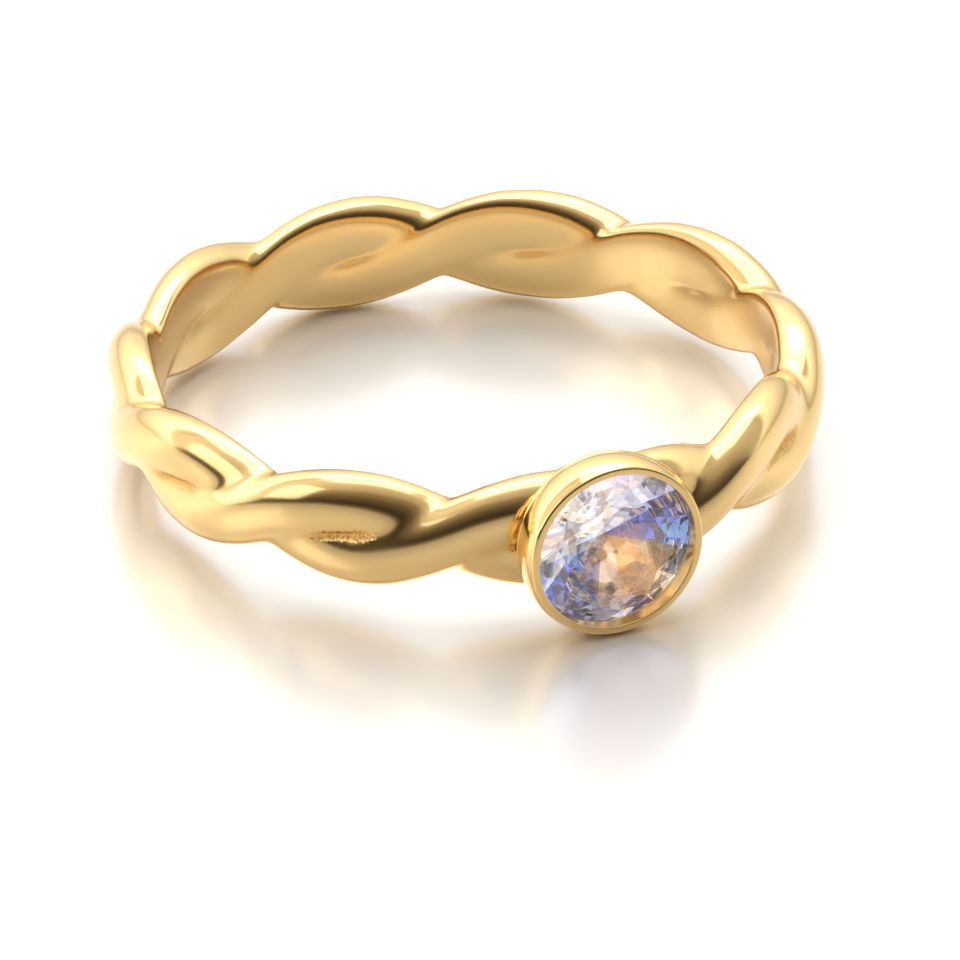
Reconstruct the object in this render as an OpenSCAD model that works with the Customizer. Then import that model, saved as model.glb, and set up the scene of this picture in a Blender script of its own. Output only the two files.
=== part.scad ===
// Ring with a band of two twisted strands and a round stone in a plain bezel, lying on its side.
// The ring is first drawn about its own axis: finger hole along Z, setting towards -Y.
// at_rest() then tips it as it lies on a table, on the setting's wall and the far side of the band.

/* [Band] */
// Diameter of the finger hole
bore_d = 17.3; // [16:0.1:20]
// Width of the band across both strands, where they lie furthest apart
band_w = 3.38; // [3.2:0.02:3.8]
// Width of one strand where it runs straight round the finger
strand_w = 1.78; // [1.72:0.02:1.9]
// Width of the band at a crossing, where the strands run at a slant
crossing_w = 2.06; // [1.96:0.02:2.2]
// Full radial depth of one strand, before the finger hole is cut
strand_depth = 1.46; // [1.3:0.02:1.7]
// Depth that the finger hole shaves off a strand, away from the crossings
bore_cut = 0.16; // [0.12:0.02:0.24]
// How far the outer strand rises at a crossing, and the inner one sinks
crossing_rise = 0.22; // [0.1:0.01:0.26]
// Softness of the valleys between the strands, 0 for sharp
valley = 0.08; // [0.04:0.02:0.3]
// Angle from the middle of the setting to the nearest crossing on each side
first_crossing = 25.5; // [24:0.1:27]

/* [Setting] */
// Distance from the ring's axis to the rim of the setting
rim_r = 11.25; // [11.1:0.05:11.6]
// Diameter of the setting's wall at its widest
wall_d = 5.2; // [4.9:0.02:5.6]
// Thickness of the wall round the girdle of the stone
wall_t = 0.13; // [0.1:0.01:0.2]
// How far the wall bulges out past its two ends
wall_bulge = 0.07; // [0.04:0.01:0.1]
// Height of the wall, from the groove to the rim
wall_h = 1.06; // [0.9:0.02:1.1]
// Thickness of the round collar at the foot of the wall
collar_t = 0.3; // [0.24:0.02:0.34]
// How far the groove is cut in between the collar and the wall
groove = 0.08; // [0.05:0.01:0.12]
// Width of the setting's foot inside the band, as a share of the wall's diameter
foot_share = 0.62; // [0.56:0.02:0.7]

/* [Stone] */
// Height of the crown, from girdle to table
crown_h = 0.52; // [0.44:0.02:0.56]
// Depth of the pavilion, from girdle to culet
pavilion_h = 1.7; // [1.5:0.02:1.76]
// Width of the table as a share of the stone's diameter
table_share = 0.6; // [0.55:0.01:0.66]
// Depth of the girdle below the rim
girdle_depth = 0.56; // [0.54:0.01:0.6]
// How far the rim reaches in over the girdle
lip = 0.1; // [0.08:0.01:0.16]
// Gap between the stone and the metal round it
seat_gap = 0.03; // [0.02:0.01:0.05]

/* [Hidden] */

// The casting's crossings are not quite even: each distance as a share of the mean,
// from the crossing on the setting's right round to the one on its left
spacing = [0.953, 0.993, 1.066, 1.012, 1.008, 1.042, 0.943, 1.028, 0.955];
crossings = len(spacing) + 1;

bore_r = bore_d / 2;
rho_r = strand_depth / 2;
rho_z = strand_w / 2;
mid_r = bore_r + rho_r - bore_cut;
swing = (band_w - strand_w) / 2;

function run(k) = k == 0 ? 0 : run(k - 1) + spacing[k - 1];
mean_turn = (360 - 2 * first_crossing) / run(crossings - 1);
crossing_at = [for (k = [0 : crossings - 1]) first_crossing + mean_turn * run(k)];
// Behind the setting the strands run level, one above the other, up to these angles.
level_right = first_crossing - mean_turn * spacing[0] / 2;
level_left = 360 - first_crossing + mean_turn * spacing[crossings - 2] / 2;
// Twist against angle: half a turn more at each crossing
twist_table = concat(
    [[level_right, -90]],
    [for (k = [0 : crossings - 1]) [crossing_at[k], 180 * k]],
    [[level_left, 180 * crossings - 90]]);

// Sections of the band to a half turn and to the level run, and points round a section
turn_steps = 12;
level_steps = 5;
points_round = 36;

wall_r = wall_d / 2;
wall_end_r = wall_r - wall_bulge;
foot_r = wall_r * foot_share;
stone_r = wall_end_r - wall_t - seat_gap;
rim_round = 0.08;
wall_steps = 6;
wall_low = rim_r - wall_h;
wall_high = rim_r - rim_round;
wall_rest = (wall_low + wall_high) / 2;
collar_r = wall_end_r - groove / 2;
collar_low = wall_low - collar_t;

// The mouth of the setting narrows a little from the rim down to the crown of the stone.
lip_r = stone_r - lip;
mouth_flare = 0.04;
girdle_t = 0.07;
table_r = stone_r * table_share;
crown_slope = crown_h / (stone_r - table_r);
girdle_at = rim_r - girdle_depth;
culet_at = girdle_at - girdle_t - pavilion_h;

// The ring lies on the lowest line of the setting's wall and on the lobe of the band that is
// furthest from it, halfway between the two far crossings.
far_at = (crossing_at[crossings / 2 - 1] + crossing_at[crossings / 2]) / 2;
far_y = -mid_r * cos(far_at);
rest_tilt = atan((wall_r - band_w / 2) / (wall_rest + far_y));
rest_lift = far_y * sin(rest_tilt) + band_w / 2 * cos(rest_tilt);
// Half the difference between the setting's reach and the far side's
front_reach = rim_r * cos(rest_tilt) + wall_end_r * sin(rest_tilt);
rest_shift = (front_reach - far_y - rho_r) / 2;

function twist(t) = lookup(t, twist_table);

function station_angles() = concat(
    [for (i = [0 : level_steps - 1])
        level_left - 360 + (level_right + 360 - level_left) * i / level_steps],
    [for (k = [0 : crossings - 1], i = [0 : turn_steps - 1])
        let (from = k == 0 ? level_right : (crossing_at[k - 1] + crossing_at[k]) / 2,
             to = k == crossings - 1 ? level_left : (crossing_at[k] + crossing_at[k + 1]) / 2,
             share = i / turn_steps)
        share < 0.5
            ? from + (crossing_at[k] - from) * 2 * share
            : crossing_at[k] + (to - crossing_at[k]) * (2 * share - 1)]);

// Outline of both strands at angle t, as seen from the point midway between them
function section(t) =
    let (w = twist(t),
         half_w = rho_z + (crossing_w / 2 - rho_z) * cos(w) * cos(w),
         apart = [crossing_rise / rho_r * cos(w), swing / half_w * sin(w)],
         d = norm(apart),
         dir = atan2(apart[1], apart[0]))
    [for (i = [0 : points_round - 1])
        let (phi = 360 * i / points_round,
             along = cos(phi - dir),
             across = sin(phi - dir),
             reach = d * sqrt(along * along + valley * valley * across * across)
                 + sqrt(max(1 - d * d * across * across, 0)),
             r = mid_r + rho_r * reach * cos(phi))
        [r * cos(t - 90), r * sin(t - 90), half_w * reach * sin(phi)]];

module strands() {
    angles = station_angles();
    n = len(angles);
    m = points_round;
    points = [for (t = angles) each section(t)];
    faces = [for (i = [0 : n - 1], j = [0 : m - 1])
        let (a = i * m + j,
             b = i * m + (j + 1) % m,
             c = ((i + 1) % n) * m + (j + 1) % m,
             d = ((i + 1) % n) * m + j,
             short_ac = norm(points[a] - points[c]) < norm(points[b] - points[d]))
        each short_ac ? [[a, b, c], [a, c, d]] : [[a, b, d], [b, c, d]]];
    polyhedron(points = points, faces = faces, convexity = 10);
}

// Stands its child on the setting's axis, which points to -Y
module on_setting_axis() {
    rotate([90, 0, 0]) children();
}

// Solid head of the setting: foot, round collar, groove and bulged wall with a rounded rim
module setting_head() {
    rotate_extrude($fn = 96)
        polygon(concat(
            [[0, bore_r - foot_r / 2], [foot_r, bore_r - foot_r / 2], [foot_r, collar_low]],
            [for (i = [0 : 4])
                let (a = 180 * i / 4 - 90)
                [collar_r - collar_t / 2 + collar_t / 2 * cos(a),
                    wall_low - collar_t / 2 + collar_t / 2 * sin(a)]],
            [[wall_end_r - groove - collar_t / 2, wall_low]],
            [for (i = [0 : wall_steps])
                let (s = 2 * i / wall_steps - 1)
                [wall_end_r + wall_bulge * (1 - s * s), wall_low + (wall_high - wall_low) * i / wall_steps]],
            [[wall_end_r - 0.3 * rim_round, rim_r - 0.3 * rim_round],
                [wall_end_r - rim_round, rim_r],
                [0, rim_r]]));
}

// Room for the stone: a cone under the girdle, the girdle's own groove and the open mouth
module stone_seat() {
    g = seat_gap;
    rotate_extrude($fn = 96)
        polygon([
            [0, culet_at - 3 * g],
            [2 * g, culet_at - 3 * g],
            [stone_r + g, girdle_at - girdle_t - g],
            [stone_r + g, girdle_at + g],
            [lip_r, girdle_at + g + (lip + g) * crown_slope],
            [lip_r + mouth_flare, rim_r + g],
            [0, rim_r + g]]);
}

module braided_band() {
    color("goldenrod")
    at_rest()
    difference() {
        union() {
            strands();
            on_setting_axis() setting_head();
        }
        cylinder(r = bore_r, h = 3 * band_w, center = true, $fn = 192);
        on_setting_axis() stone_seat();
    }
}

function ring_of(count, r, start, z) =
    [for (i = [0 : count - 1])
        [r * cos(start + 360 * i / count), r * sin(start + 360 * i / count), z]];

// Round brilliant: table, eight stars, eight kites, sixteen upper and sixteen lower girdle
// facets and eight pavilion mains. Z runs along the stone's axis and 0 is the girdle's top.
module brilliant() {
    kite_r = table_r + 0.42 * (stone_r - table_r);
    kite_z = crown_h - crown_slope * (kite_r * cos(22.5) - table_r);
    low_r = 0.22 * stone_r;
    culet_z = -girdle_t - pavilion_h;
    low_z = culet_z + pavilion_h / stone_r * low_r * cos(22.5);
    points = concat(
        ring_of(8, table_r, 0, crown_h),
        ring_of(8, kite_r, 22.5, kite_z),
        ring_of(16, stone_r, 0, 0),
        ring_of(16, stone_r, 0, -girdle_t),
        ring_of(8, low_r, 22.5, low_z),
        [[0, 0, culet_z]]);
    table = 0;
    kite = 8;
    top = 16;
    bottom = 32;
    low = 48;
    culet = 56;
    faces = concat(
        [[for (k = [7 : -1 : 0]) table + k]],
        [for (k = [0 : 7]) [table + k, table + (k + 1) % 8, kite + k]],
        [for (k = [0 : 7]) [table + k, kite + k, top + 2 * k, kite + (k + 7) % 8]],
        [for (k = [0 : 7]) each [
            [kite + k, top + 2 * k + 1, top + 2 * k],
            [kite + k, top + (2 * k + 2) % 16, top + 2 * k + 1]]],
        [for (k = [0 : 15]) [top + k, top + (k + 1) % 16, bottom + (k + 1) % 16, bottom + k]],
        [for (k = [0 : 7]) each [
            [low + k, bottom + 2 * k, bottom + 2 * k + 1],
            [low + k, bottom + 2 * k + 1, bottom + (2 * k + 2) % 16]]],
        [for (k = [0 : 7]) [culet, low + (k + 7) % 8, bottom + 2 * k, low + k]]);
    polyhedron(points = points, faces = faces, convexity = 2);
}

module stone() {
    color("lightsteelblue", 0.6)
    at_rest()
    on_setting_axis()
    translate([0, 0, girdle_at])
    brilliant();
}

// Tips the ring onto the table and sets the middle of its outline over the origin
module at_rest() {
    translate([0, rest_shift, rest_lift])
    rotate([-rest_tilt, 0, 0])
    children();
}

braided_band();
stone();
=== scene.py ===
import bpy
import math
import numpy as np
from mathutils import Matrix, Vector


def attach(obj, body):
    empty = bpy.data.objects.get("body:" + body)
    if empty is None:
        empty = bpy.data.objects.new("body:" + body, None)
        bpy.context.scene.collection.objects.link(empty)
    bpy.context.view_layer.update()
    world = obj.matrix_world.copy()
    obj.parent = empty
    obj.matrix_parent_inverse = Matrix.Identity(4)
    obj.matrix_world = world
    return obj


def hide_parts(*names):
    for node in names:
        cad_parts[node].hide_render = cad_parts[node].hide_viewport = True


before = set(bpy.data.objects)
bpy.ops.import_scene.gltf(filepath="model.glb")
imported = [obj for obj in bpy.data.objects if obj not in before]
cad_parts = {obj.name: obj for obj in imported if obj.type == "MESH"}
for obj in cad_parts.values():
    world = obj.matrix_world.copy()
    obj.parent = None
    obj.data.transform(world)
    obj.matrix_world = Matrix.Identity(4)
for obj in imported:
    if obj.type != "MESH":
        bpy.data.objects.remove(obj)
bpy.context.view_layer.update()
mm = 0.001

# The ring's own sizes, in millimetres and degrees, as in the part's source.
# All shapes are first made round the ring's axis: finger hole along Z, setting towards -Y.
ring = {
    "boreDiameter": 17.3,
    "bandWidth": 3.38,
    "strandWidth": 1.78,
    "crossingWidth": 2.06,
    "strandDepth": 1.46,
    "boreCut": 0.16,
    "crossingRise": 0.22,
    "firstCrossing": 25.5,  # from the middle of the setting to the nearest crossing
    "spacing": [0.953, 0.993, 1.066, 1.012, 1.008, 1.042, 0.943, 1.028, 0.955],  # uneven, as cast
    "rimRadius": 11.25,  # ring's axis to the rim of the setting
    "wallDiameter": 5.2,
    "wallBulge": 0.07,
    "wallHeight": 1.06,
    "wallThickness": 0.13,
    "seatGap": 0.03,
    "rimRound": 0.08,
    "girdleDepth": 0.56,  # rim of the setting to the stone's girdle
    "girdle": 0.07,
    "pavilionDepth": 1.7,
}
boreRadius = ring["boreDiameter"] / 2
rhoR = ring["strandDepth"] / 2
rhoZ = ring["strandWidth"] / 2
midRadius = boreRadius + rhoR - ring["boreCut"]
swing = (ring["bandWidth"] - ring["strandWidth"]) / 2
wallRadius = ring["wallDiameter"] / 2
wallEnd = wallRadius - ring["wallBulge"]
wallLow = ring["rimRadius"] - ring["wallHeight"]
stoneRadius = wallEnd - ring["wallThickness"] - ring["seatGap"]

# Where the crossings fall, and how the ring tips onto its setting and its far lobe
runs = np.concatenate([[0.0], np.cumsum(ring["spacing"])])
meanTurn = (360 - 2 * ring["firstCrossing"]) / runs[-1]
crossings = ring["firstCrossing"] + meanTurn * runs
farAt = (crossings[4] + crossings[5]) / 2
farY = -midRadius * math.cos(math.radians(farAt))
wallRest = (wallLow + ring["rimRadius"] - ring["rimRound"]) / 2
restTilt = math.atan((wallRadius - ring["bandWidth"] / 2) / (wallRest + farY))
restLift = farY * math.sin(restTilt) + ring["bandWidth"] / 2 * math.cos(restTilt)
restShift = (ring["rimRadius"] * math.cos(restTilt) + wallEnd * math.sin(restTilt) - farY - rhoR) / 2


def atRest(points):  # ring's own millimetres to the row's metres
    c, s = math.cos(restTilt), math.sin(restTilt)
    x, y, z = points[..., 0], points[..., 1], points[..., 2]
    return np.stack([x, y * c + z * s + restShift, -y * s + z * c + restLift], -1) * mm


def gridMesh(name, points, closed=True):  # points[u, v, xyz] to a smooth mesh, always closed along u
    nu, nv = points.shape[:2]
    u = np.arange(nu)[:, None]
    v = np.arange(nv if closed else nv - 1)[None, :]
    a = u * nv + v
    b = u * nv + (v + 1) % nv
    c = (u + 1) % nu * nv + (v + 1) % nv
    d = (u + 1) % nu * nv + v
    faces = np.stack([a, b, c, d], -1).reshape(-1, 4)
    mesh = bpy.data.meshes.new(name)
    mesh.from_pydata(atRest(points).reshape(-1, 3).tolist(), [], faces.tolist())
    mesh.polygons.foreach_set("use_smooth", [True] * len(mesh.polygons))
    mesh.update()
    thing = bpy.data.objects.new(name, mesh)
    bpy.context.scene.collection.objects.link(thing)
    return thing


def addMask(thing, name, values):  # one number a vertex, read by the material
    layer = thing.data.attributes.new(name, "FLOAT", "POINT")
    layer.data.foreach_set("value", np.asarray(values, dtype=np.float32).ravel())


# ---- metal finish
# Effects used by more than one metal are groups with named sockets.
def newGroup(name, inputs, outputs):
    group = bpy.data.node_groups.new(name, "ShaderNodeTree")
    for label, kind, value in inputs:
        socket = group.interface.new_socket(name=label, in_out="INPUT", socket_type=kind)
        if value is not None:
            socket.default_value = value
    for label, kind in outputs:
        group.interface.new_socket(name=label, in_out="OUTPUT", socket_type=kind)
    return group, group.nodes.new("NodeGroupInput"), group.nodes.new("NodeGroupOutput")


def mathNode(tree, operation, first, second=None, third=None):
    node = tree.nodes.new("ShaderNodeMath")
    node.operation = operation
    for slot, value in zip(node.inputs, (first, second, third)):
        if value is None:
            continue
        if hasattr(value, "is_output"):
            tree.links.new(value, slot)
        else:
            slot.default_value = value
    return node.outputs[0]


def polishMarks():  # faint crossing scratches and a soft unevenness left by the polishing wheel
    group, given, result = newGroup(
        "polishMarks",
        [("Vector", "NodeSocketVector", None), ("Scale", "NodeSocketFloat", 1.0),
         ("Scratches", "NodeSocketFloat", 0.5)],
        [("Height", "NodeSocketFloat"), ("Haze", "NodeSocketFloat")])
    scratchSum = None
    for angle, stretch in ((0.35, (900, 9000, 2600)), (1.25, (8200, 1100, 3000)), (2.2, (2400, 1500, 9500))):
        turn = group.nodes.new("ShaderNodeMapping")
        turn.inputs["Rotation"].default_value = (angle, angle * 0.6, angle * 1.7)
        turn.inputs["Scale"].default_value = stretch
        group.links.new(given.outputs["Vector"], turn.inputs["Vector"])
        grain = group.nodes.new("ShaderNodeTexNoise")
        grain.inputs["Detail"].default_value = 2.0
        group.links.new(turn.outputs["Vector"], grain.inputs["Vector"])
        group.links.new(given.outputs["Scale"], grain.inputs["Scale"])
        line = mathNode(group, "SMOOTH_MAX", mathNode(group, "SUBTRACT", grain.outputs["Fac"], 0.62), 0.0, 0.05)
        scratchSum = line if scratchSum is None else mathNode(group, "ADD", scratchSum, line)
    wave = group.nodes.new("ShaderNodeTexNoise")
    wave.inputs["Scale"].default_value = 420.0
    wave.inputs["Detail"].default_value = 1.5
    group.links.new(given.outputs["Vector"], wave.inputs["Vector"])
    scratched = mathNode(group, "MULTIPLY", scratchSum, given.outputs["Scratches"])
    group.links.new(mathNode(group, "SUBTRACT", wave.outputs["Fac"], scratched), result.inputs["Height"])
    group.links.new(mathNode(group, "MULTIPLY_ADD", scratched, 1.4,
                             mathNode(group, "MULTIPLY", wave.outputs["Fac"], 0.25)), result.inputs["Haze"])
    return group


def castGrain():  # rough skin that polishing didn't reach, in the hollows between the strands
    group, given, result = newGroup(
        "castGrain",
        [("Vector", "NodeSocketVector", None), ("Mask", "NodeSocketFloat", 0.0),
         ("Grain Size", "NodeSocketFloat", 9000.0)],
        [("Height", "NodeSocketFloat"), ("Rough", "NodeSocketFloat")])
    cells = group.nodes.new("ShaderNodeTexVoronoi")
    cells.inputs["Randomness"].default_value = 1.0
    group.links.new(given.outputs["Vector"], cells.inputs["Vector"])
    group.links.new(given.outputs["Grain Size"], cells.inputs["Scale"])
    fine = group.nodes.new("ShaderNodeTexNoise")
    fine.inputs["Detail"].default_value = 4.0
    group.links.new(given.outputs["Vector"], fine.inputs["Vector"])
    group.links.new(mathNode(group, "MULTIPLY", given.outputs["Grain Size"], 0.6), fine.inputs["Scale"])
    edge = mathNode(group, "ADD", given.outputs["Mask"],
                    mathNode(group, "MULTIPLY", mathNode(group, "SUBTRACT", fine.outputs["Fac"], 0.5), 0.9))
    reach = group.nodes.new("ShaderNodeMapRange")
    reach.inputs["From Min"].default_value = 0.35
    reach.inputs["From Max"].default_value = 0.75
    group.links.new(edge, reach.inputs["Value"])
    height = mathNode(group, "ADD", cells.outputs["Distance"], fine.outputs["Fac"])
    group.links.new(mathNode(group, "MULTIPLY", height, reach.outputs["Result"]), result.inputs["Height"])
    group.links.new(reach.outputs["Result"], result.inputs["Rough"])
    return group


def goldToneAndHollowShade():  # paler gold with random changes of tone, and painted shade: the mask lays richer, darker gold into the hollows and the seat, where shade falls
    group, given, result = newGroup(
        "goldToneAndHollowShade",
        [("Vector", "NodeSocketVector", None), ("Mask", "NodeSocketFloat", 0.0),
         ("Bright", "NodeSocketColor", (1, 0.8, 0.5, 1)), ("Deep", "NodeSocketColor", (0.8, 0.5, 0.2, 1))],
        [("Color", "NodeSocketColor")])
    cloud = group.nodes.new("ShaderNodeTexNoise")
    cloud.inputs["Scale"].default_value = 260.0
    cloud.inputs["Detail"].default_value = 3.0
    group.links.new(given.outputs["Vector"], cloud.inputs["Vector"])
    # the Mask share is painted shade; the cloud share is the metal's own uneven tone
    share = mathNode(group, "MULTIPLY_ADD", cloud.outputs["Fac"], 0.3,
                     mathNode(group, "MULTIPLY", given.outputs["Mask"], 0.75))
    blend = group.nodes.new("ShaderNodeMix")
    blend.data_type = "RGBA"
    group.links.new(share, blend.inputs["Factor"])
    group.links.new(given.outputs["Bright"], blend.inputs["A"])
    group.links.new(given.outputs["Deep"], blend.inputs["B"])
    group.links.new(blend.outputs["Result"], result.inputs["Color"])
    return group


marksGroup, grainGroup, toneAndShadeGroup = polishMarks(), castGrain(), goldToneAndHollowShade()


def goldMaterial(look):  # one polished or matt gold, from its own dictionary
    material = bpy.data.materials.new(look["name"])
    material.use_nodes = True
    tree = material.node_tree
    metal = tree.nodes["Principled BSDF"]
    metal.inputs["Metallic"].default_value = 1.0
    place = tree.nodes.new("ShaderNodeTexCoord")
    grainAndShadeMask = tree.nodes.new("ShaderNodeAttribute")
    grainAndShadeMask.attribute_name = "grain"
    marks = tree.nodes.new("ShaderNodeGroup")
    marks.node_tree = marksGroup
    marks.inputs["Scale"].default_value = look["scratchScale"]
    marks.inputs["Scratches"].default_value = look["scratches"]
    grain = tree.nodes.new("ShaderNodeGroup")
    grain.node_tree = grainGroup
    grain.inputs["Grain Size"].default_value = look["grainSize"]
    toneAndShade = tree.nodes.new("ShaderNodeGroup")
    toneAndShade.node_tree = toneAndShadeGroup
    toneAndShade.inputs["Bright"].default_value = (*look["bright"], 1)
    toneAndShade.inputs["Deep"].default_value = (*look["deep"], 1)
    for node in (marks, grain, toneAndShade):
        tree.links.new(place.outputs["Object"], node.inputs["Vector"])
    for node in (grain, toneAndShade):
        tree.links.new(grainAndShadeMask.outputs["Fac"], node.inputs["Mask"])
    # base colour carries painted shade: darker gold wherever the grain mask marks a hollow
    tree.links.new(toneAndShade.outputs["Color"], metal.inputs["Base Color"])
    haze = mathNode(tree, "MULTIPLY_ADD", marks.outputs["Haze"], look["haze"], look["roughness"])
    rough = mathNode(tree, "MULTIPLY_ADD", grain.outputs["Rough"], look["grainRoughness"], haze)
    tree.links.new(rough, metal.inputs["Roughness"])
    fine = tree.nodes.new("ShaderNodeBump")
    fine.inputs["Distance"].default_value = look["markDepth"] * mm
    fine.inputs["Strength"].default_value = 1.0
    tree.links.new(marks.outputs["Height"], fine.inputs["Height"])
    coarse = tree.nodes.new("ShaderNodeBump")
    coarse.inputs["Distance"].default_value = look["grainDepth"] * mm
    coarse.inputs["Strength"].default_value = 1.0
    tree.links.new(grain.outputs["Height"], coarse.inputs["Height"])
    tree.links.new(fine.outputs["Normal"], coarse.inputs["Normal"])
    tree.links.new(coarse.outputs["Normal"], metal.inputs["Normal"])
    return material


bandGold = goldMaterial({
    "name": "bandGold",
    "bright": (0.93, 0.68, 0.32),
    "deep": (0.78, 0.47, 0.13),
    "roughness": 0.15,
    "haze": 0.12,
    "scratchScale": 1.0,
    "scratches": 0.4,
    "markDepth": 0.006,
    "grainSize": 15000.0,
    "grainRoughness": 0.2,
    "grainDepth": 0.02,
})
settingGold = goldMaterial({
    "name": "settingGold",
    "bright": (0.96, 0.7, 0.32),
    "deep": (0.8, 0.48, 0.13),
    "roughness": 0.09,
    "haze": 0.1,
    "scratchScale": 1.3,
    "scratches": 0.5,
    "markDepth": 0.004,
    "grainSize": 6500.0,
    "grainRoughness": 0.3,
    "grainDepth": 0.03,
})

# ---- band of two twisted strands
strands = {
    "stations": 900,
    "pointsRound": 108,
    "valley": (0.12, 0.42),  # softness of the outer crease, at a crossing and between two crossings
    "innerValley": 0.2,
    "polish": (1.1, 8.0),  # rounding of all creases, in degrees round the ring and round the band
    "slitWidth": 0.15,  # of the strand's size
    "grainWidth": 0.2,
    "slit": 0.06,  # depth of the narrow slit left at the bottom of the crease
    "press": 1.7,  # how flat the wearer's side is pressed
    "waviness": 0.006,  # unevenness of a cast and hand-polished surface
    "inset": 0.024,  # keeps the smooth surface inside the solid's box
}


def seatDepth(radius):  # distance from the ring's axis to the seat's cone, at a radius from the stone's axis
    culet = ring["rimRadius"] - ring["girdleDepth"] - ring["girdle"] - ring["pavilionDepth"]
    rise = (ring["pavilionDepth"] + 2 * ring["seatGap"]) / (stoneRadius + ring["seatGap"])
    return culet - 3 * ring["seatGap"] + radius * rise


def soften(values, spread):  # rounds a closed grid by blurring it both ways
    for axis, degrees in enumerate(spread):
        count = values.shape[axis]
        wave = np.fft.fftfreq(count) * 360 / (360 / count) * math.radians(degrees)
        shape = [1, 1]
        shape[axis] = count
        fall = np.exp(-0.5 * wave.reshape(shape) ** 2)
        values = np.real(np.fft.ifft(np.fft.fft(values, axis=axis) * fall, axis=axis))
    return values


def strandGrid():
    t = np.linspace(0, 360, strands["stations"], endpoint=False)[:, None]
    phi = np.linspace(0, 2 * math.pi, strands["pointsRound"], endpoint=False)[None, :]
    levelRight = crossings[0] - meanTurn * ring["spacing"][0] / 2
    levelLeft = crossings[-1] + meanTurn * ring["spacing"][-1] / 2
    at = np.concatenate([[levelRight - 1e-6], crossings, [levelLeft]])
    turn = np.concatenate([[-90.0], 180.0 * np.arange(len(crossings)), [180.0 * len(crossings) - 90]])
    w = np.radians(np.interp(t, at, turn))
    halfWidth = rhoZ + (ring["crossingWidth"] / 2 - rhoZ) * np.cos(w) ** 2
    apartR = ring["crossingRise"] / rhoR * np.cos(w)
    apartZ = swing / halfWidth * np.sin(w)
    apart = np.hypot(apartR, apartZ)
    heading = np.arctan2(apartZ, apartR)
    along, across = np.cos(phi - heading), np.sin(phi - heading)
    side = np.abs(np.sin(w))
    soft = strands["valley"][0] + (strands["valley"][1] - strands["valley"][0]) * side
    inward = np.clip(0.5 - 1.6 * np.cos(phi), 0, 1)
    soft = soft + (strands["innerValley"] * side - soft) * inward * side
    reach = (apart * np.sqrt(along ** 2 + (soft * across) ** 2)
             + np.sqrt(np.maximum(1 - (apart * across) ** 2, 0)))
    reach = soften(reach, strands["polish"])
    ragged = 0.85 + 0.15 * np.sin(np.radians(t) * 97 + 2 * np.sin(np.radians(t) * 61))
    middle = np.clip(1.6 * side ** 8 - 0.5, 0, 1) * (np.cos(phi) > 0.2)
    slit = np.exp(-(along / strands["slitWidth"]) ** 2) * middle * ragged
    reach = reach - strands["slit"] / rhoR * slit
    wave = (np.sin(np.radians(t) * 17 + 3 * np.sin(phi)) + 0.7 * np.sin(np.radians(t) * 31 + 2 * phi + 1.3)
            + 0.5 * np.sin(np.radians(t) * 53 - 3 * phi + 0.4))
    reach = reach - (strands["inset"] + strands["waviness"] * (1 + 0.45 * wave)) / rhoR
    r = midRadius + rhoR * reach * np.cos(phi)
    z = halfWidth * reach * np.sin(phi)
    # The wearer's side is pressed gently flat against the cylinder of the finger hole.
    room = midRadius - boreRadius
    inwardBy = np.maximum(midRadius - r, 0)
    deepest = 1.0 - math.exp(-strands["press"] * (1 + ring["crossingRise"] / rhoR) * rhoR / room)
    pressed = room * (1 - np.exp(-strands["press"] * inwardBy / room)) / deepest
    r = np.where(r < midRadius, np.maximum(midRadius - np.minimum(pressed, room), boreRadius), r)
    a = np.radians(t - 90)
    points = np.stack([r * np.cos(a), r * np.sin(a), z + 0 * a], -1)
    # Inside the setting the strands give way to the stone's seat.
    out = np.hypot(points[..., 0], points[..., 2])
    limit = seatDepth(out) - 0.05
    inside = (out < stoneRadius) & (-points[..., 1] > limit) & (points[..., 1] < 0)
    points[..., 1] = np.where(inside, -limit, points[..., 1])
    # Hollows between the strands keep a rough cast skin; the same mask also paints shade there as darker gold.
    crease = np.exp(-(along / strands["grainWidth"]) ** 2)
    grainAndShadeMask = crease * np.clip(2.2 * side ** 4 - 0.7, 0, 1) * (np.cos(phi) > 0.1)
    return points, grainAndShadeMask


points, creaseGrainAndShade = strandGrid()
band = gridMesh("bandStrands", points)
addMask(band, "grain", creaseGrainAndShade)
band.data.materials.append(bandGold)
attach(band, "root")
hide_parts("braided_band")
print("band made:", len(band.data.polygons), "faces")

# ---- setting: foot, collar, groove, bulged wall, burnished lip and seat
setting = {
    "segments": 240,
    "collarThickness": 0.3,
    "groove": 0.08,
    "footShare": 0.62,
    "lip": 0.1,
    "mouthFlare": 0.04,
    "rimSteps": 8,
}


def arc(centre, radius, start, end, steps):  # points of a round in the profile, angles in degrees
    angles = np.radians(np.linspace(start, end, steps))
    return [(centre[0] + radius * math.cos(a), centre[1] + radius * math.sin(a)) for a in angles]


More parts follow.
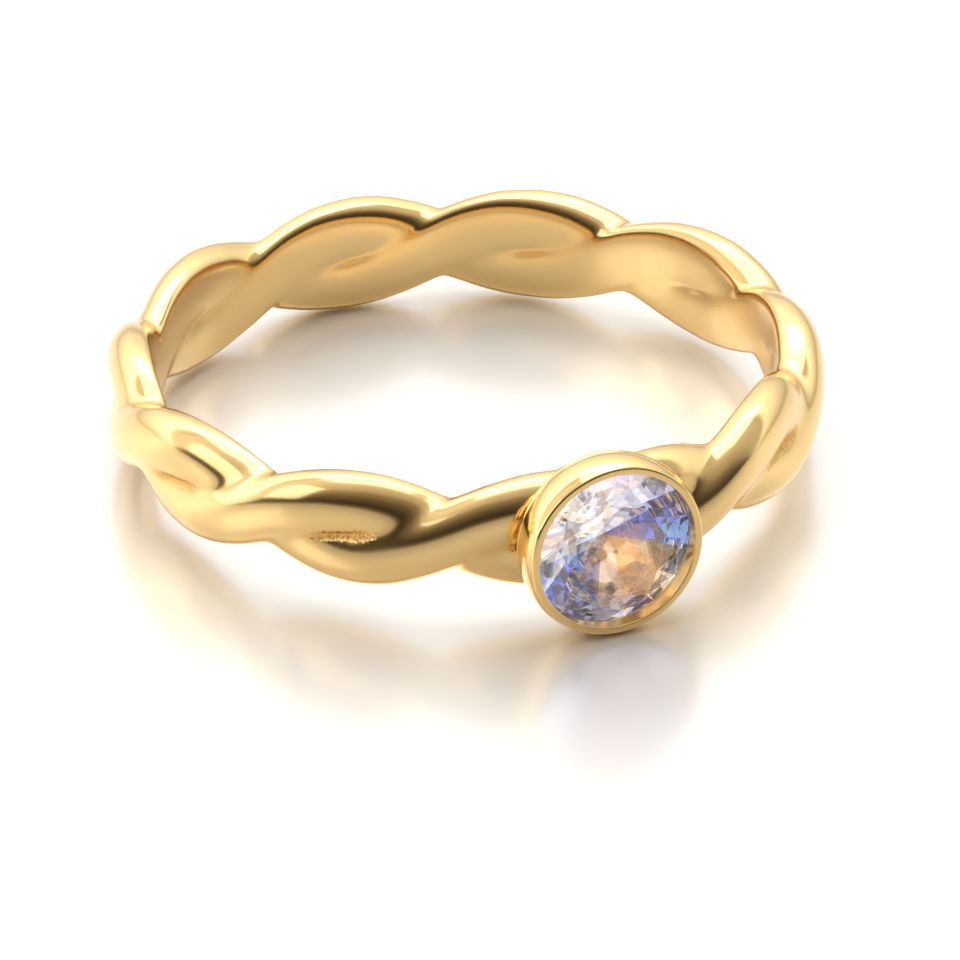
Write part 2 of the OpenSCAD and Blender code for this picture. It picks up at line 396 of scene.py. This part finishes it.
def settingProfile():  # (distance from the stone's axis, distance from the ring's axis)
    collar = setting["collarThickness"]
    collarRadius = wallEnd - setting["groove"] / 2
    collarLow = wallLow - collar
    foot = wallRadius * setting["footShare"]
    high = ring["rimRadius"] - ring["rimRound"]
    profile = [(share * foot, boreRadius + 0.02) for share in (0.0, 0.3, 0.6, 0.85, 1.0)]
    profile += [(foot, collarLow - 0.05)]
    profile += arc((collarRadius - collar / 2, wallLow - collar / 2), collar / 2, -90, 80, 18)
    profile += [(wallEnd - setting["groove"] - 0.06, wallLow - 0.01), (wallEnd - setting["groove"], wallLow)]
    for s in np.linspace(-0.96, 1, 26):
        profile.append((wallEnd + ring["wallBulge"] * (1 - s * s), wallLow + (high - wallLow) * (s + 1) / 2))
    profile += arc((wallEnd - ring["rimRound"], high), ring["rimRound"], 8, 90, setting["rimSteps"])
    mouth = stoneRadius - setting["lip"]
    girdle = ring["rimRadius"] - ring["girdleDepth"]
    profile += arc((mouth + setting["mouthFlare"] + 0.04, ring["rimRadius"] - 0.04), 0.04, 90, 180, 6)
    profile += [(mouth + 0.012, girdle + 0.18), (mouth, girdle + 0.12)]
    profile += [(stoneRadius + ring["seatGap"], girdle + 0.03), (stoneRadius + ring["seatGap"], girdle - 0.1)]
    for share in np.linspace(0.98, 0.02, 14):
        radius = (stoneRadius + ring["seatGap"]) * share
        profile.append((radius, seatDepth(radius)))
    profile.append((0.0, seatDepth(0.02)))
    return profile


profile = np.array(settingProfile())
around = np.linspace(0, 2 * math.pi, setting["segments"], endpoint=False)[:, None]
out, dist = profile[None, :, 0], profile[None, :, 1]
rimArea = np.clip((dist - ring["rimRadius"] + 0.3) / 0.3, 0, 1)
out = out - 0.012 * rimArea * (1 + np.sin(3 * around + 0.8) * 0.5 + np.sin(7 * around) * 0.3) * (out > 0.5)
dist = dist - 0.01 * rimArea * (1 + np.sin(5 * around + 2.0))
# The foot ends flush with the finger hole's own curve.
flush = np.sqrt((boreRadius + 0.01) ** 2 - (out * np.cos(around)) ** 2)
dist = np.where(np.arange(profile.shape[0])[None, :] < 5, flush, dist + 0 * around)
cup = gridMesh("settingCup", np.stack([out * np.cos(around), -dist + 0 * around, out * np.sin(around)], -1),
               closed=False)
# The seat behind the stone is rough, and the same mask paints shade there as darker gold.
seatGrainAndShade = np.zeros(profile.shape[0])
seatGrainAndShade[-15:] = 0.5
addMask(cup, "grain", np.tile(seatGrainAndShade, setting["segments"]))
cup.data.materials.append(settingGold)
cup.parent = band
print("setting made:", len(cup.data.polygons), "faces")

# ---- stone: round brilliant
gem = {
    "tableShare": 0.6,
    "crownHeight": 0.52,
    "turn": 9.0,  # degrees round its own axis
    "ior": 1.77,
    "clear": (0.98, 0.98, 1.0),
    "lavender": (0.82, 0.83, 1.0),
    "blue": (0.3, 0.38, 0.95),
    "paintedFlashStrength": 0.48,
    "shardSize": 1900.0,  # larger numbers give smaller shards
    # painted light: a glow for each back facet standing in for the light it returns (blue and white flashes, gold
    # of the seat seen through), clockwise from the top as seen from the front
    "paintedFlashes": [(0.35, 0.34, 0.8), (0.25, 0.27, 0.75), (0.5, 0.5, 0.9), (0.04, 0.06, 0.45), (0.1, 0.15, 0.7),
                (0.5, 0.42, 0.35), (0.7, 0.45, 0.22), (0.6, 0.36, 0.16), (0.9, 0.85, 0.85), (0.25, 0.3, 0.6),
                (0.1, 0.18, 0.7), (0.15, 0.36, 0.8), (0.7, 0.78, 1.0), (0.6, 0.68, 0.9), (0.9, 0.9, 0.95),
                (0.5, 0.5, 0.85)],
}


def ringOf(count, radius, start, height):
    angles = np.radians(start + 360 / count * np.arange(count) + gem["turn"])
    return [(radius * math.cos(a), height, radius * math.sin(a)) for a in angles]


def brilliant():
    table = stoneRadius * gem["tableShare"]
    slope = gem["crownHeight"] / (stoneRadius - table)
    kite = table + 0.42 * (stoneRadius - table)
    low = 0.22 * stoneRadius
    culet = -ring["girdle"] - ring["pavilionDepth"]
    verts = ringOf(8, table, 0, gem["crownHeight"])
    verts += ringOf(8, kite, 22.5, gem["crownHeight"] - slope * (kite * math.cos(math.pi / 8) - table))
    verts += ringOf(16, stoneRadius, 0, 0) + ringOf(16, stoneRadius, 0, -ring["girdle"])
    verts += ringOf(8, low, 22.5, culet + ring["pavilionDepth"] / stoneRadius * low * math.cos(math.pi / 8))
    verts += [(0, culet, 0)]
    faces = [list(range(8))]
    for k in range(8):
        n = (k + 1) % 8
        faces += [[k, 8 + k, n], [k, 8 + (k + 7) % 8, 16 + 2 * k, 8 + k]]
        faces += [[8 + k, 16 + 2 * k, 17 + 2 * k], [8 + k, 17 + 2 * k, 16 + (2 * k + 2) % 16]]
        faces += [[48 + k, 33 + 2 * k, 32 + 2 * k], [48 + k, 32 + (2 * k + 2) % 16, 33 + 2 * k]]
        faces += [[56, 48 + k, 32 + 2 * k, 48 + (k + 7) % 8]]
    for k in range(16):
        faces.append([16 + k, 32 + k, 32 + (k + 1) % 16, 16 + (k + 1) % 16])
    return np.array(verts), faces


gemPoints, gemFaces = brilliant()
gemAt = ring["rimRadius"] - ring["girdleDepth"]
gemPoints = np.stack([gemPoints[:, 0], -(gemPoints[:, 1] + gemAt), gemPoints[:, 2]], -1)
gemMesh = bpy.data.meshes.new("roundStone")
gemMesh.from_pydata(atRest(gemPoints).tolist(), [], gemFaces)
gemMesh.update()
stone = bpy.data.objects.new("roundStone", gemMesh)
bpy.context.scene.collection.objects.link(stone)

# The stone's own tint is nearly clear in front; the deeper blue in some back facets is painted, standing in for
# blue flashes of light. Each back facet also gets a painted flash colour that the material makes glow.
tint = gemMesh.color_attributes.new("ownTintAndPaintedBlue", "FLOAT_COLOR", "CORNER")
paintedFlash = gemMesh.color_attributes.new("paintedFlash", "FLOAT_COLOR", "CORNER")
for face in gemMesh.polygons:
    corners = [gemPoints[v] for v in face.vertices]
    centre = np.mean(corners, axis=0)
    isBack = -centre[1] < gemAt - ring["girdle"] - 0.02
    # deeper blue in the back facets is painted flash colour; the faint share in front is the stone's own tint
    deep = (0.5 + 0.5 * math.sin(face.index * 2.4)) * (1.0 if isBack else 0.3)
    turnShare = (math.degrees(math.atan2(centre[0], centre[2])) / 22.5) % 16
    isMain = len(face.vertices) == 4
    color = gem["paintedFlashes"][int(turnShare + (0.5 if isMain else 0)) % 16] if isBack else (0, 0, 0)
    if isMain:
        color = tuple(0.7 * c for c in color)
    for loop in face.loop_indices:
        tint.data[loop].color = (deep, deep, deep, 1)
        paintedFlash.data[loop].color = (*color, 1)


def stoneMaterial():
    material = bpy.data.materials.new("paleStone")
    material.use_nodes = True
    tree = material.node_tree
    glass = tree.nodes["Principled BSDF"]
    glass.inputs["Transmission Weight"].default_value = 1.0
    glass.inputs["IOR"].default_value = gem["ior"]
    glass.inputs["Metallic"].default_value = 0.0
    ownTintAndPaintedBlue = tree.nodes.new("ShaderNodeVertexColor")
    ownTintAndPaintedBlue.layer_name = "ownTintAndPaintedBlue"
    place = tree.nodes.new("ShaderNodeTexCoord")
    silk = tree.nodes.new("ShaderNodeTexNoise")
    silk.inputs["Scale"].default_value = 900.0
    silk.inputs["Detail"].default_value = 3.0
    tree.links.new(place.outputs["Object"], silk.inputs["Vector"])
    ramp = tree.nodes.new("ShaderNodeValToRGB")
    ramp.color_ramp.elements[0].position = 0.3
    ramp.color_ramp.elements[0].color = (*gem["clear"], 1)
    ramp.color_ramp.elements[1].position = 1.0
    ramp.color_ramp.elements[1].color = (*gem["blue"], 1)
    middle = ramp.color_ramp.elements.new(0.8)
    middle.color = (*gem["lavender"], 1)
    # base colour: the stone's own pale tint, with painted blue in the back facets
    uneven = mathNode(tree, "SUBTRACT", silk.outputs["Fac"], 0.5)
    share = mathNode(tree, "MULTIPLY_ADD", uneven, 0.3, ownTintAndPaintedBlue.outputs["Color"])
    tree.links.new(share, ramp.inputs["Fac"])
    tree.links.new(ramp.outputs["Color"], glass.inputs["Base Color"])
    # painted light: the back facets glow with their flash colours, broken into shards; the stone is no lamp
    paintedGlow = tree.nodes.new("ShaderNodeVertexColor")
    paintedGlow.layer_name = "paintedFlash"
    shards = tree.nodes.new("ShaderNodeTexVoronoi")
    shards.inputs["Scale"].default_value = gem["shardSize"]
    tree.links.new(place.outputs["Object"], shards.inputs["Vector"])
    pick = tree.nodes.new("ShaderNodeSeparateColor")
    tree.links.new(shards.outputs["Color"], pick.inputs["Color"])
    lively = mathNode(tree, "MULTIPLY_ADD", mathNode(tree, "POWER", pick.outputs["Red"], 2.0), 1.9, 0.06)
    paintedShine = tree.nodes.new("ShaderNodeVectorMath")
    paintedShine.operation = "SCALE"
    tree.links.new(paintedGlow.outputs["Color"], paintedShine.inputs[0])
    tree.links.new(lively, paintedShine.inputs["Scale"])
    tree.links.new(paintedShine.outputs["Vector"], glass.inputs["Emission Color"])
    glass.inputs["Emission Strength"].default_value = gem["paintedFlashStrength"]
    wear = mathNode(tree, "MULTIPLY", silk.outputs["Fac"], 0.02)
    tree.links.new(wear, glass.inputs["Roughness"])
    return material


stone.data.materials.append(stoneMaterial())
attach(stone, "root")
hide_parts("stone")
print("stone made:", len(gemMesh.polygons), "facets")

# ---- floor, light and camera
stage = {
    "floorSize": 0.9,
    "floorColor": (0.97, 0.97, 0.97),
    "floorRoughness": 0.24,
    "metalShare": 0.32,  # how much of the table's white is mirror
    "sky": 1.12,
    "lampPower": 0.45,
}
bpy.ops.mesh.primitive_grid_add(x_subdivisions=8, y_subdivisions=8, size=stage["floorSize"], location=(0, 0, 0))
floor = bpy.context.object
floor.name = "floor"
floorMaterial = bpy.data.materials.new("whiteTable")
floorMaterial.use_nodes = True
tree = floorMaterial.node_tree
sheet = tree.nodes["Principled BSDF"]
sheet.inputs["Base Color"].default_value = (*stage["floorColor"], 1)
sheet.inputs["Metallic"].default_value = stage["metalShare"]
place = tree.nodes.new("ShaderNodeTexCoord")
cloud = tree.nodes.new("ShaderNodeTexNoise")
cloud.inputs["Scale"].default_value = 60.0
tree.links.new(place.outputs["Object"], cloud.inputs["Vector"])
tree.links.new(mathNode(tree, "MULTIPLY_ADD", cloud.outputs["Fac"], 0.03, stage["floorRoughness"]),
               sheet.inputs["Roughness"])
floor.data.materials.append(floorMaterial)


view = {
    "azimuth": -21.892,
    "elevation": 28.935,
    "distance": 300.0,
    "pixelsPerMm": 35.612,  # at the ring's middle
    "centre": (464.511, 383.229),  # where the ring's middle falls in a picture of 960 by 960
}

# One sweep of light from the back wall over the top to the dim front of the room,
# as (share of the way from the back horizon to the front one, brightness)
sweep = [(0.0, 0.6), (0.1, 1.0), (0.2, 1.4), (0.31, 1.8), (0.36, 0.6), (0.42, 0.8), (0.52, 0.75),
         (0.64, 0.55), (0.74, 0.24), (0.84, 0.1), (0.93, 0.03), (0.97, 0.05), (1.0, 0.3)]


def studioSky():
    world = bpy.data.worlds.new("studio")
    bpy.context.scene.world = world
    world.use_nodes = True
    tree = world.node_tree
    back = tree.nodes["Background"]
    coords = tree.nodes.new("ShaderNodeTexCoord")
    turn = tree.nodes.new("ShaderNodeMapping")
    turn.inputs["Rotation"].default_value = (0, 0, math.radians(-view["azimuth"]))  # +Y is the back of the studio
    split = tree.nodes.new("ShaderNodeSeparateXYZ")
    tree.links.new(coords.outputs["Generated"], turn.inputs["Vector"])
    tree.links.new(turn.outputs["Vector"], split.inputs["Vector"])
    angle = mathNode(tree, "ARCTAN2", mathNode(tree, "MAXIMUM", split.outputs["Z"], 0.0), split.outputs["Y"])
    ramp = tree.nodes.new("ShaderNodeValToRGB")
    ramp.color_ramp.interpolation = "EASE"
    while len(ramp.color_ramp.elements) < len(sweep):
        ramp.color_ramp.elements.new(0.5)
    for element, (position, value) in zip(ramp.color_ramp.elements, sweep):
        element.position = position
        warm = min(value, 1)  # the dim end of the room is warmer
        element.color = (value, value * (0.82 + 0.17 * warm), value * (0.6 + 0.37 * warm), 1)
    tree.links.new(mathNode(tree, "DIVIDE", angle, math.pi), ramp.inputs["Fac"])
    tree.links.new(ramp.outputs["Color"], back.inputs["Color"])
    # the left of the studio is brighter than the right
    tree.links.new(mathNode(tree, "MULTIPLY", mathNode(tree, "MULTIPLY_ADD", split.outputs["X"], -0.3, 1.0),
                            stage["sky"]), back.inputs["Strength"])


studioSky()


def softbox(name, place, aim, size, power, color=(1, 1, 1)):
    lamp = bpy.data.lights.new(name, "AREA")
    lamp.shape = "RECTANGLE"
    lamp.size, lamp.size_y = size
    lamp.energy = power
    lamp.color = color
    holder = bpy.data.objects.new(name, lamp)
    holder.location = place
    holder.rotation_euler = (Vector(aim) - Vector(place)).to_track_quat("-Z", "Y").to_euler()
    bpy.context.scene.collection.objects.link(holder)
    return holder


softbox("topSoftbox", (0.05, 0.12, 0.32), (0, 0, 0), (0.3, 0.3), stage["lampPower"])
softbox("leftSoftbox", (-0.35, 0.0, 0.2), (0, 0, 0), (0.2, 0.25), stage["lampPower"] * 0.45)

print("light made")

azimuth, elevation = math.radians(view["azimuth"]), math.radians(view["elevation"])
backward = Vector((math.sin(azimuth) * math.cos(elevation), -math.cos(azimuth) * math.cos(elevation),
                   math.sin(elevation)))
right = Vector((math.cos(azimuth), math.sin(azimuth), 0))
up = backward.cross(right)
middle = Vector((0, restShift, restLift))
eye = middle + backward * view["distance"]
aim = (middle + right * (480 - view["centre"][0]) / view["pixelsPerMm"]
       - up * (480 - view["centre"][1]) / view["pixelsPerMm"])
camera = bpy.data.objects.new("camera", bpy.data.cameras.new("camera"))
bpy.context.scene.collection.objects.link(camera)
camera.location = eye * mm
camera.rotation_euler = (aim - eye).to_track_quat("-Z", "Y").to_euler()
camera.data.sensor_width = 36
camera.data.lens = view["pixelsPerMm"] * view["distance"] / 960 * 36
camera.data.clip_start = 0.01
camera.data.clip_end = 20
bpy.context.scene.camera = camera
bpy.context.scene.view_settings.view_transform = "Standard"
bpy.context.scene.view_settings.look = "None"

print("camera and sizes done")
